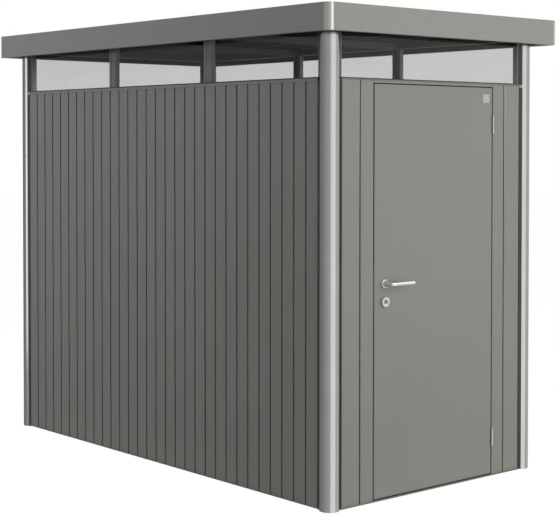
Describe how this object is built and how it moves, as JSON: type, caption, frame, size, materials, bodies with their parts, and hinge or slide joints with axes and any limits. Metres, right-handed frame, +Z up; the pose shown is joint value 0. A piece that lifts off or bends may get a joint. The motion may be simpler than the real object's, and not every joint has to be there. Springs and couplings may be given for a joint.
{
  "type": "metal tool shed",
  "caption": "Flat-roofed metal garden tool shed with ribbed walls, round silver corner posts, a band of windows under the eaves and one hinged door with a lever handle.",
  "frame": {"origin": "on the ground under the middle of the roof", "axes": "+Z up, +Y from the door wall towards the rear wall, +X to the right as seen from in front of the door"},
  "size_m": [1.55, 2.75, 2.22],
  "materials": {
    "wall_paint": "smooth satin quartz-grey polyester coating on sheet steel",
    "roof_steel": "satin coated roof sheet",
    "aluminium": "satin anodised extrusion",
    "glass": "clear glazing sheet",
    "hinge_steel": "stainless steel",
    "handle_metal": "satin stainless steel",
    "rubber": "dark grey sealing strip, in the scene only"
  },
  "bodies": {
    "shed": {"base_rail_front": "aluminium", "base_rail_rear": "aluminium", "base_rail_left": "aluminium", "base_rail_right": "aluminium", "floor_panels": "aluminium", "corner_post_front_left": "aluminium", "corner_post_front_right": "aluminium", "corner_post_rear_left": "aluminium", "corner_post_rear_right": "aluminium", "left_window_posts": "wall_paint", "right_window_posts": "wall_paint", "left_wall_sheets": "wall_paint", "right_wall_sheets": "wall_paint", "rear_wall_sheet": "wall_paint", "front_panel_left": "wall_paint", "front_panel_right": "wall_paint", "door_jamb_left": "wall_paint", "door_jamb_right": "wall_paint", "sill_rail_front": "wall_paint", "sill_rail_rear": "wall_paint", "sill_rail_left": "wall_paint", "sill_rail_right": "wall_paint", "front_window_pane": "glass", "rear_window_pane": "glass", "left_window_panes": "glass", "right_window_panes": "glass", "top_rail_front": "wall_paint", "top_rail_rear": "wall_paint", "top_rail_left": "wall_paint", "top_rail_right": "wall_paint", "roof_beams": "wall_paint", "roof_sheets": "roof_steel", "fascia_front": "wall_paint", "fascia_rear": "wall_paint", "fascia_left": "wall_paint", "fascia_right": "wall_paint", "fascia_corners": "aluminium", "frame_hinge_leaves": "hinge_steel"},
    "door": {"door_leaf": "wall_paint", "door_hinge_leaves": "hinge_steel", "rose_and_lock": "handle_metal"},
    "handle": {"door_handle": "handle_metal"}
  },
  "joints": [
    {"name": "door_hinge", "type": "hinge", "parent": "shed", "child": "door", "pos_m": [0.40244, -1.2815, 0], "axis": [0, 0, 1], "range_deg": [0, 110]},
    {"name": "lever_press", "type": "hinge", "parent": "door", "child": "handle", "pos_m": [-0.33594, -1.277, 0.983], "axis": [0, 1, 0], "range_deg": [0, 40], "stiffness_Nm_per_rad": 1.5, "springref_deg": -28.65}
  ]
}
